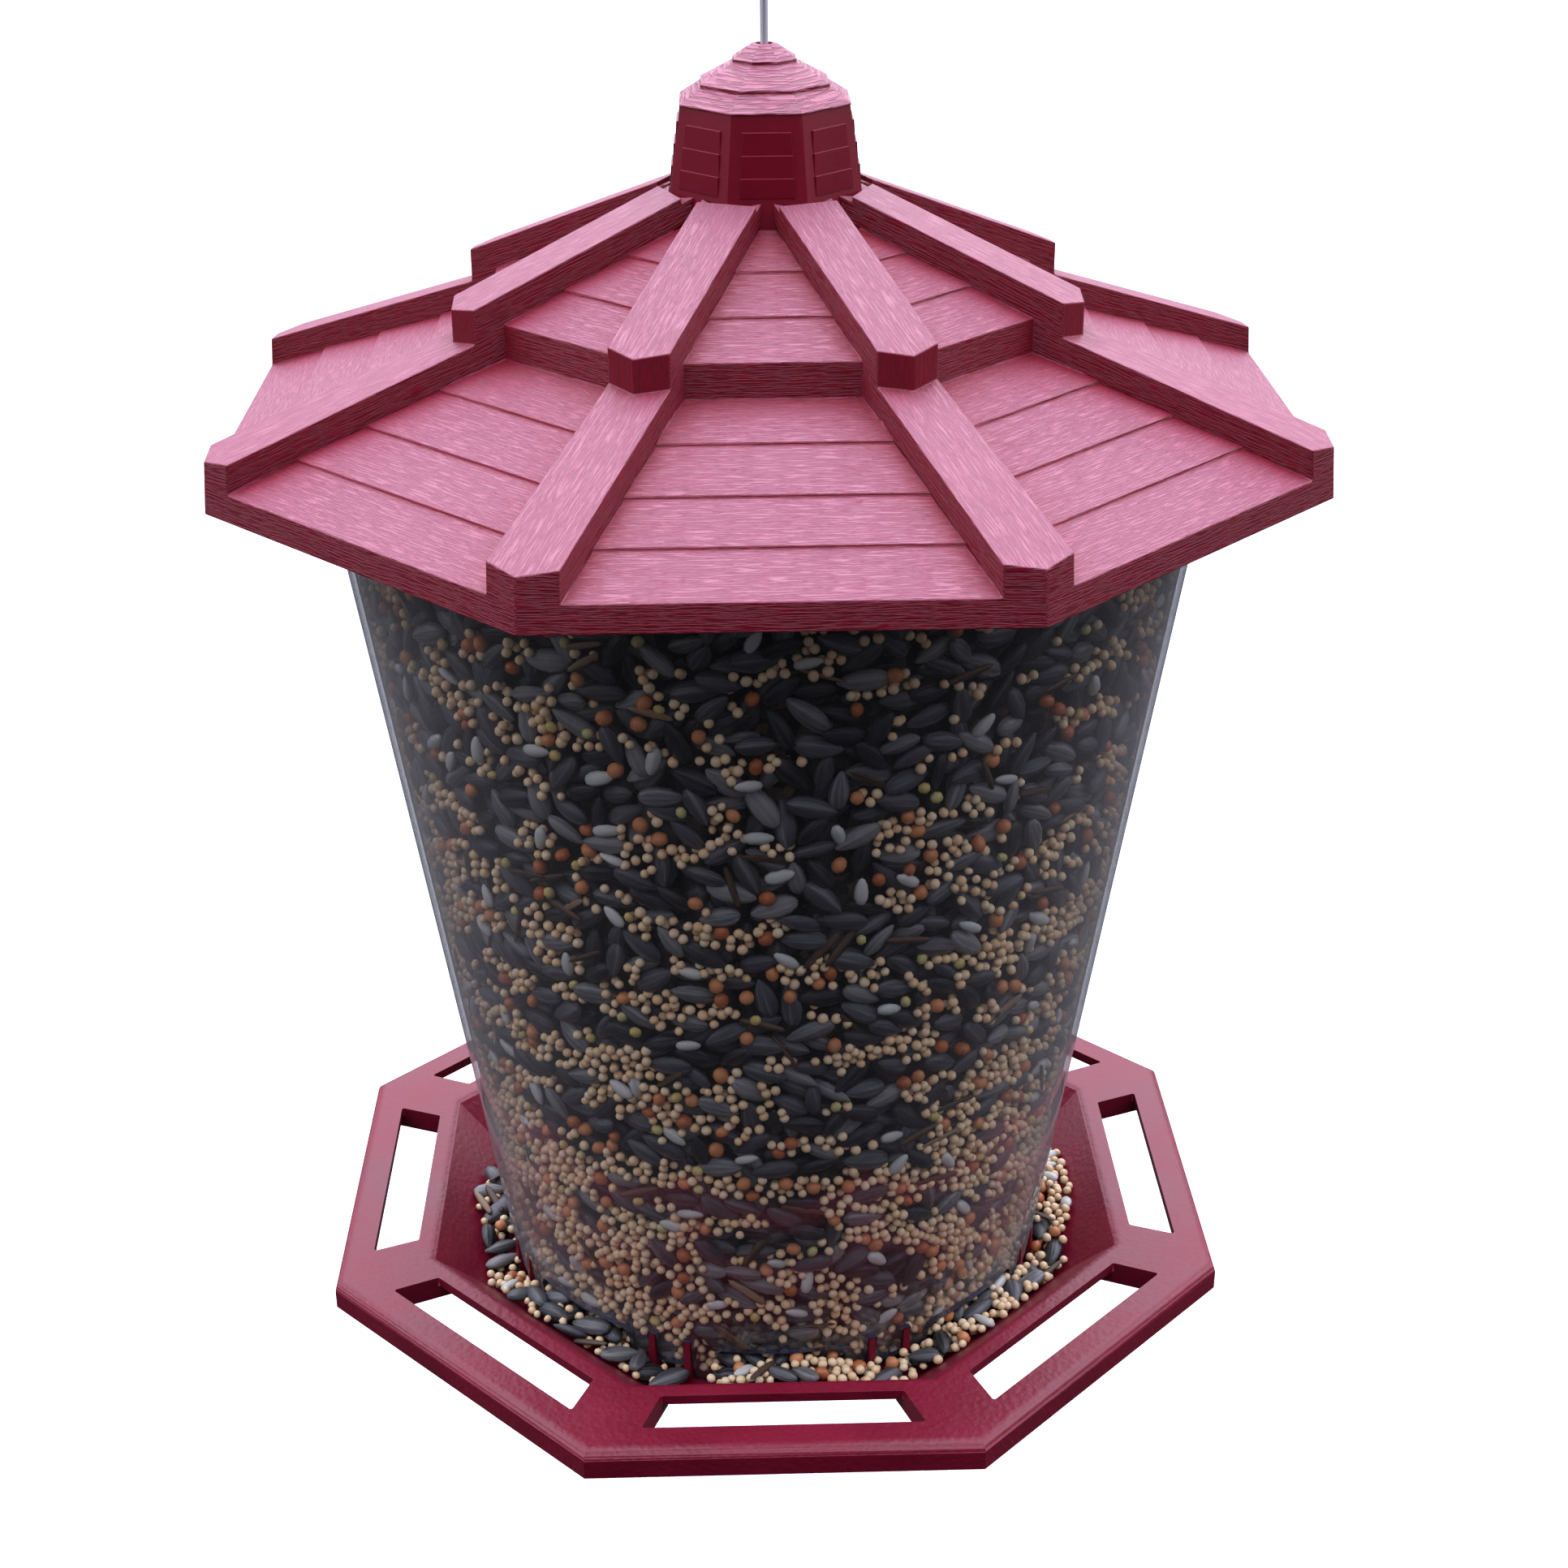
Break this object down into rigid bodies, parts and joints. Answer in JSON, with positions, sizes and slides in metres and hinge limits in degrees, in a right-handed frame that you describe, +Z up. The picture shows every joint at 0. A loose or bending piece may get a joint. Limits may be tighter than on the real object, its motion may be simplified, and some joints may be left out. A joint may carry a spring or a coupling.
{
  "type": "hanging gravity seed feeder",
  "caption": "Octagonal hanging seed feeder: clear tapered jar on a slotted perch tray, under a two-tier plank roof that slides up its hanger wire.",
  "frame": {"origin": "centre of the tray's flat underside, on the hanger wire's axis", "axes": "+Z up along the hanger wire, -Y towards the front side of the octagon, +X to the right"},
  "size_m": [0.2586, 0.2586, 0.4746],
  "materials": {
    "roof_plastic": "crimson, moulded with a fine wood grain, satin",
    "cupola_plastic": "crimson, smooth, satin",
    "tray_plastic": "crimson, moulded with a fine leather stipple, satin",
    "clear_plastic": "clear, faintly smoky, glossy",
    "bush_plastic": "natural nylon",
    "wire_steel": "drawn and polished",
    "ferrule_aluminium": "crimped",
    "zinc_steel": "bright zinc plate"
  },
  "bodies": {
    "root": {"tray": "tray_plastic", "jar": "clear_plastic", "seed_cone": "tray_plastic", "hanger_wire": "wire_steel", "eye_ferrule": "ferrule_aluminium", "threaded_stud": "zinc_steel", "flat_washer": "zinc_steel", "lock_washer": "zinc_steel"},
    "roof_guide": {"guide_bush": "bush_plastic"},
    "roof_body": {"roof": "roof_plastic", "cupola": "cupola_plastic", "cupola_cap": "roof_plastic"},
    "nut": {"wing_nut": "zinc_steel"}
  },
  "joints": [
    {"name": "roof_lift", "type": "slide", "parent": "root", "child": "roof_guide", "axis": [0, 0, 1], "range_m": [0, 0.1]},
    {"name": "roof_turn", "type": "hinge", "parent": "roof_guide", "child": "roof_body", "pos_m": [0, 0, 0.3225], "axis": [0, 0, 1], "continuous": true},
    {"name": "wing_nut_turn", "type": "hinge", "parent": "root", "child": "nut", "pos_m": [0, 0, 0.012], "axis": [0, 0, 1], "continuous": true}
  ]
}
